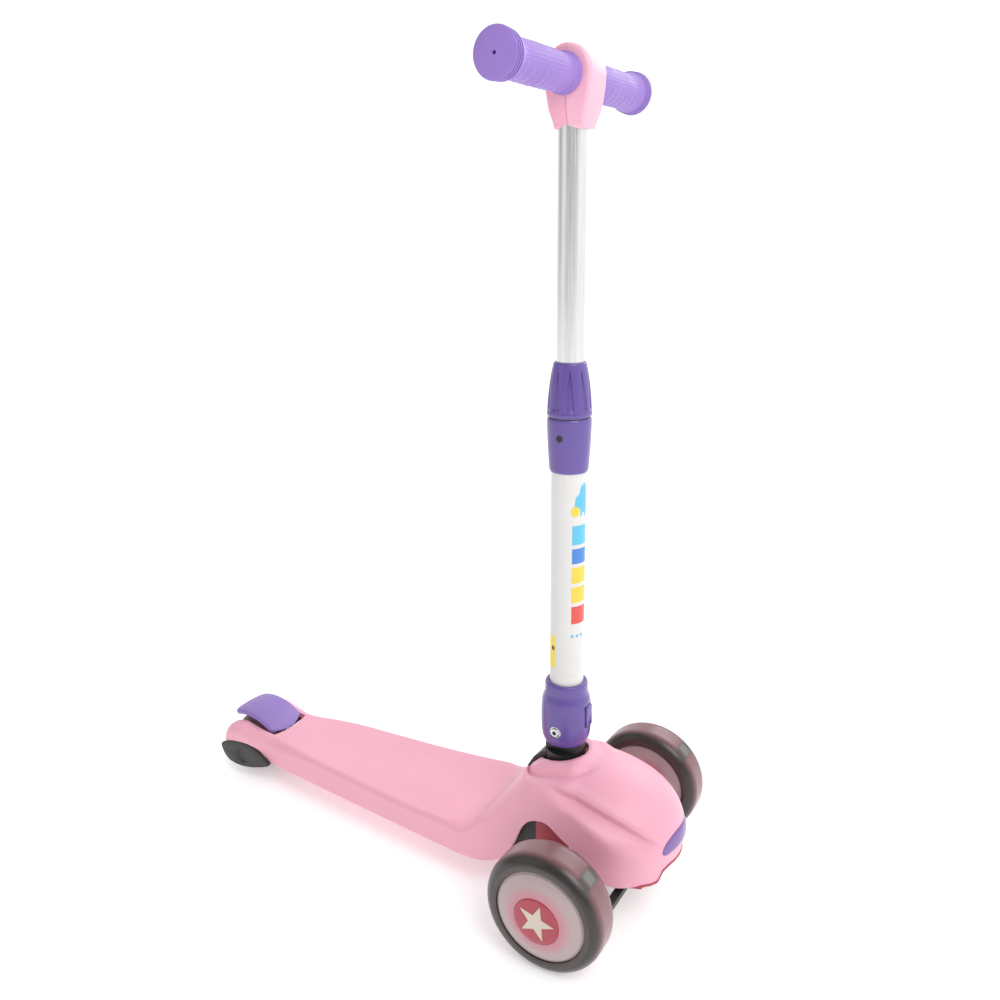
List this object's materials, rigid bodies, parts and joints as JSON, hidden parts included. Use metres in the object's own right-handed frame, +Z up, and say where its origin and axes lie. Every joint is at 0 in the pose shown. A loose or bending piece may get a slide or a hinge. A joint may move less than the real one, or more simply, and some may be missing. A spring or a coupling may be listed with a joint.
{
  "type": "kick scooter",
  "caption": "Folding three-wheeled kick scooter for a small child: lean-to-steer front wheels, telescopic stem, foot brake over the rear wheel.",
  "frame": {"origin": "on the ground, below the middle of the whole scooter", "axes": "+X forward, +Y to the rider's left, +Z up"},
  "size_m": [0.5966, 0.2946, 0.8122],
  "materials": {
    "shell_pink": "satin moulded polypropylene",
    "head_pink": "satin moulded plastic, lighter pink",
    "cover_red": "satin moulded plastic",
    "badge_purple": "smooth moulded plastic",
    "purple_plastic": "smooth moulded plastic",
    "fender_purple": "satin moulded plastic",
    "grip_rubber": "soft rubber with fine relief",
    "dark_plastic": "fine-grained glass-filled plastic",
    "black_plastic": "fine-grained glass-filled plastic",
    "cast_dark": "powder-coated casting",
    "steel": "zinc plated",
    "spring_steel": "drawn spring wire",
    "dark_screw": "black oxide",
    "tube_white": "glossy white paint",
    "tube_aluminium": "satin anodised",
    "collet_white": "moulded nylon",
    "smoke_tyre": "translucent smoky polyurethane",
    "hub_plastic": "smooth moulded plastic",
    "face_plastic": "smooth moulded plastic",
    "star_print": "printed disc with a plain star",
    "light_black": "moulded light module"
  },
  "bodies": {
    "chassis": {"deck_shell": "shell_pink", "under_cover": "cover_red", "nose_badge": "badge_purple", "pivot_bracket": "dark_plastic", "bracket_bolts": "steel", "stem_socket": "black_plastic", "pivot_bolt": "steel", "spring_left": "spring_steel", "spring_right": "spring_steel", "rear_cover_left": "dark_plastic", "rear_cover_right": "dark_plastic", "cover_screws": "steel", "rear_axle": "steel", "lock_nuts": "steel", "axle_spacers": "steel", "brake_pin": "steel", "brake_spring": "spring_steel"},
    "axle_beam": {"axle_beam": "cast_dark", "kingpins": "steel"},
    "tie_rod": {"tie_rod": "dark_plastic"},
    "knuckle_left": {"knuckle_left": "cast_dark", "axle_bolt_left": "steel"},
    "knuckle_right": {"knuckle_right": "cast_dark", "axle_bolt_right": "steel"},
    "wheel_left": {"tyre_left": "smoke_tyre", "hub_left": "hub_plastic", "face_plate_left": "face_plastic", "star_disc_left": "star_print", "bearings_left": "steel", "lights_left": "light_black"},
    "wheel_right": {"tyre_right": "smoke_tyre", "hub_right": "hub_plastic", "face_plate_right": "face_plastic", "star_disc_right": "star_print", "bearings_right": "steel", "lights_right": "light_black"},
    "rear_wheel": {"rear_tyre": "smoke_tyre", "rear_hub": "hub_plastic", "rear_bearings": "steel"},
    "brake": {"brake_fender": "fender_purple", "brake_pad": "steel"},
    "stem": {"hinge_sleeve": "purple_plastic", "outer_tube": "tube_white", "lower_collar": "purple_plastic", "collar_screw": "dark_screw", "clamp_collet": "collet_white", "hinge_bolt": "steel", "hinge_nut": "steel", "button_spring": "spring_steel"},
    "release_button": {"release_button": "purple_plastic"},
    "twist_collar": {"twist_collar": "purple_plastic"},
    "handlebar": {"inner_tube": "tube_aluminium", "tube_bush": "black_plastic", "cross_tube": "steel", "head_front_cover": "head_pink", "head_rear_cover": "shell_pink", "head_screws": "dark_screw", "grip_left": "grip_rubber", "grip_right": "grip_rubber"}
  },
  "joints": [
    {"name": "stem_fold", "type": "hinge", "parent": "chassis", "child": "stem", "pos_m": [0.1689, 0, 0.175], "axis": [0, -1, 0], "range_deg": [0, 90]},
    {"name": "height_slide", "type": "slide", "parent": "stem", "child": "handlebar", "axis": [0, 0, 1], "range_m": [-0.16, 0]},
    {"name": "collar_twist", "type": "hinge", "parent": "stem", "child": "twist_collar", "pos_m": [0.1689, 0, 0.52], "axis": [0, 0, 1], "range_deg": [0, 90]},
    {"name": "release_press", "type": "slide", "parent": "stem", "child": "release_button", "axis": [-1, 0, 0], "range_m": [0, 0.0012], "stiffness_N_per_m": 600, "deforming": ["button_spring"]},
    {"name": "brake_press", "type": "hinge", "parent": "chassis", "child": "brake", "pos_m": [-0.2221, 0, 0.054], "axis": [0, -1, 0], "range_deg": [0, 5.8], "stiffness_Nm_per_rad": 4, "deforming": ["brake_spring"]},
    {"name": "lean", "type": "hinge", "parent": "chassis", "child": "axle_beam", "pos_m": [0.2144, 0, 0.058], "axis": [1, 0, 0], "range_deg": [-6, 6], "stiffness_Nm_per_rad": 80, "deforming": ["spring_left", "spring_right"]},
    {"name": "steer_left", "type": "hinge", "parent": "axle_beam", "child": "knuckle_left", "pos_m": [0.2144, 0.086, 0.06], "axis": [0, 0, 1], "range_deg": [-12.1, 12.1]},
    {"name": "steer_right", "type": "hinge", "parent": "axle_beam", "child": "knuckle_right", "pos_m": [0.2144, -0.086, 0.06], "axis": [0, 0, 1], "range_deg": [-12.1, 12.1]},
    {"name": "tie_rod_shift", "type": "slide", "parent": "axle_beam", "child": "tie_rod", "axis": [0, 1, 0], "range_m": [-0.0085, 0.0085]},
    {"name": "wheel_left_spin", "type": "hinge", "parent": "knuckle_left", "child": "wheel_left", "pos_m": [0.2144, 0.122, 0.06], "axis": [0, 1, 0], "continuous": true},
    {"name": "wheel_right_spin", "type": "hinge", "parent": "knuckle_right", "child": "wheel_right", "pos_m": [0.2144, -0.122, 0.06], "axis": [0, 1, 0], "continuous": true},
    {"name": "rear_wheel_spin", "type": "hinge", "parent": "chassis", "child": "rear_wheel", "pos_m": [-0.2611, 0, 0.035], "axis": [0, 1, 0], "continuous": true}
  ],
  "couplings": [
    {"joint": "steer_left", "follows": "lean", "ratio": 2},
    {"joint": "steer_right", "follows": "lean", "ratio": 2},
    {"joint": "tie_rod_shift", "follows": "lean", "m_per_rad": 0.076}
  ]
}
